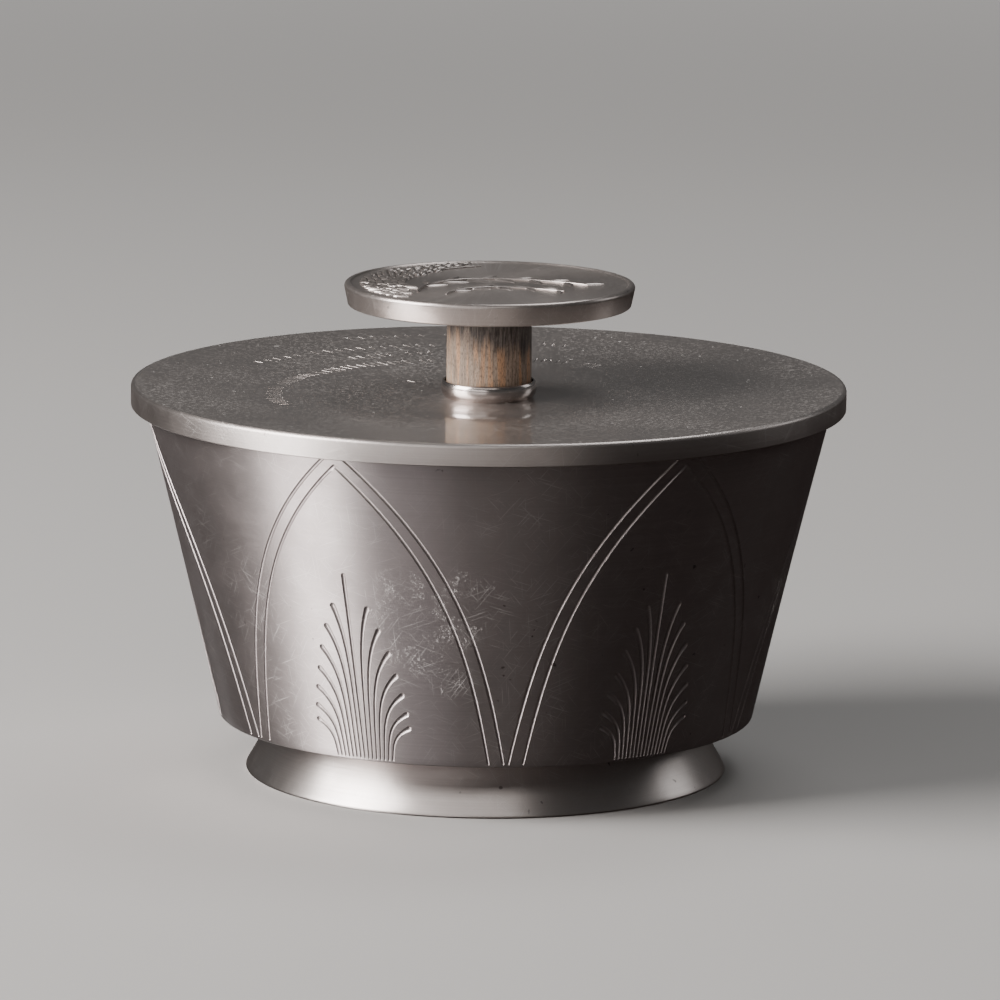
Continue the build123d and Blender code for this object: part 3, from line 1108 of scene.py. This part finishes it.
def stage_paint(name):
    """Matt pale paint that glows softly further out, where the lights don't reach."""
    s = Shader(name)
    s.bsdf.inputs["Base Color"].default_value = FLOOR_COLOUR
    s.bsdf.inputs["Roughness"].default_value = 0.75
    s.bsdf.inputs["Emission Color"].default_value = FLOOR_COLOUR
    radius, _, _ = s.around()
    s.put(s.bsdf.inputs["Emission Strength"], s.ramp(radius, GLOW_FROM, GLOW_FULL, 0.0, GLOW))
    return s.material


def stage_ring(height):
    """Points of a level ring, as wide as the floor, around the bowl."""
    turns = [2 * math.pi * k / STAGE_SIDES for k in range(STAGE_SIDES)]
    return [(FLOOR_R * math.cos(a), FLOOR_R * math.sin(a), height) for a in turns]


def stage_surface(name, verts, faces, paint):
    """A surface of the stage that casts no shadow and shows in no reflection."""
    obj = mesh_object(name, verts, faces)
    obj.visible_glossy = False
    obj.visible_shadow = False
    clothe(obj, paint)
    return obj


stage_surface("floor", stage_ring(0.0), [tuple(range(STAGE_SIDES))], stage_paint("floor_pale"))
sides = []
for k in range(STAGE_SIDES):
    n = (k + 1) % STAGE_SIDES
    sides.append((k, n, STAGE_SIDES + n, STAGE_SIDES + k))
wall_points = stage_ring(0.0) + stage_ring(WALL_HEIGHT)
wall = stage_surface("backdrop", wall_points, sides, stage_paint("backdrop_pale"))
wall.visible_diffuse = False


def softbox(name, azimuth, elevation, distance, width, height, power, colour=(1, 1, 1)):
    """A rectangular light that faces the bowl."""
    a, e = math.radians(azimuth), math.radians(elevation)
    aim = Vector((0, 0, 0.06))
    away = Vector((math.sin(a) * math.cos(e), -math.cos(a) * math.cos(e), math.sin(e)))
    data = bpy.data.lights.new(name, "AREA")
    data.shape = "RECTANGLE"
    data.size, data.size_y = width, height
    data.energy = power
    data.color = colour
    lamp = bpy.data.objects.new(name, data)
    lamp.location = aim + away * distance
    lamp.rotation_mode = "QUATERNION"
    lamp.rotation_quaternion = away.to_track_quat("Z", "Y")
    bpy.context.scene.collection.objects.link(lamp)


WARM = (1.0, 0.965, 0.94)
COOL = (0.97, 0.93, 1.0)
softbox("key", -72, 28, 1.6, 1.0, 1.1, 60, WARM)
softbox("key_low", -69, -25, 1.6, 0.56, 1.25, 16, WARM)
softbox("side_wide", -40, -30, 1.8, 1.3, 0.9, 0.9, COOL)
softbox("front_low", -9, -9, 2.0, 2.7, 0.35, 2.7, (1.0, 0.93, 0.88))
softbox("front_left", -27, 13, 2.0, 1.6, 0.35, 3.4, WARM)
softbox("front_high", -12, 41, 2.0, 1.9, 0.5, 4.5, WARM)
softbox("right_back", 112, 24, 2.0, 0.7, 0.8, 1.9)
softbox("back", 150, 62, 2.0, 0.9, 0.9, 10)
softbox("back_low", -162, -34, 1.8, 0.8, 0.9, 1.35)
softbox("side_low", 176, -26, 1.8, 0.35, 0.9, 0.8)

world = bpy.data.worlds.new("studio")
bpy.context.scene.world = world
world.use_nodes = True
tree = world.node_tree
tree.nodes.clear()
coords = tree.nodes.new("ShaderNodeTexCoord")
split = tree.nodes.new("ShaderNodeSeparateXYZ")
tree.links.new(coords.outputs["Generated"], split.inputs[0])
sky = tree.nodes.new("ShaderNodeValToRGB")
span = tree.nodes.new("ShaderNodeMapRange")
tree.links.new(split.outputs["Z"], span.inputs["Value"])
span.inputs["From Min"].default_value = -1.0
span.inputs["From Max"].default_value = 1.0
tree.links.new(span.outputs["Result"], sky.inputs["Fac"])
stops = (
    (0.0, (0.008, 0.005, 0.0045)),
    (0.42, (0.014, 0.009, 0.0085)),
    (0.49, (0.040, 0.036, 0.034)),
    (0.52, (0.080, 0.077, 0.075)),
    (0.58, (0.080, 0.079, 0.079)),
    (0.68, (0.045, 0.045, 0.045)),
    (1.0, (0.050, 0.050, 0.050)),
)
while len(sky.color_ramp.elements) < len(stops):
    sky.color_ramp.elements.new(0.5)
for element, (place, colour) in zip(sky.color_ramp.elements, stops):
    element.position = place
    element.color = (*colour, 1)
back = tree.nodes.new("ShaderNodeBackground")
tree.links.new(sky.outputs["Color"], back.inputs["Color"])
out = tree.nodes.new("ShaderNodeOutputWorld")
tree.links.new(back.outputs["Background"], out.inputs["Surface"])

# ---- camera ------------------------------------------------------------------------------------------
CAMERA_DISTANCE = 1.6
CAMERA_ELEVATION = math.radians(10.755)
PITCH, YAW, ROLL = math.radians(10.500), math.radians(0.094), math.radians(0.553)
FOCAL_PER_WIDTH = 7.600666
forward = Vector((math.cos(PITCH) * math.sin(YAW), math.cos(PITCH) * math.cos(YAW), -math.sin(PITCH)))
level = forward.cross(Vector((0, 0, 1))).normalized()
upright = level.cross(forward)
right = level * math.cos(ROLL) + upright * math.sin(ROLL)
up = upright * math.cos(ROLL) - level * math.sin(ROLL)
camera_data = bpy.data.cameras.new("camera")
camera_data.sensor_width = 36.0
camera_data.lens = 36.0 * FOCAL_PER_WIDTH
camera_data.clip_start, camera_data.clip_end = 0.05, 50.0
camera = bpy.data.objects.new("camera", camera_data)
camera.location = (
    0,
    -CAMERA_DISTANCE * math.cos(CAMERA_ELEVATION),
    CAMERA_DISTANCE * math.sin(CAMERA_ELEVATION) + 0.05,
)
camera.rotation_mode = "QUATERNION"
camera.rotation_quaternion = Matrix((right, up, -forward)).transposed().to_quaternion()
bpy.context.scene.collection.objects.link(camera)
bpy.context.scene.camera = camera
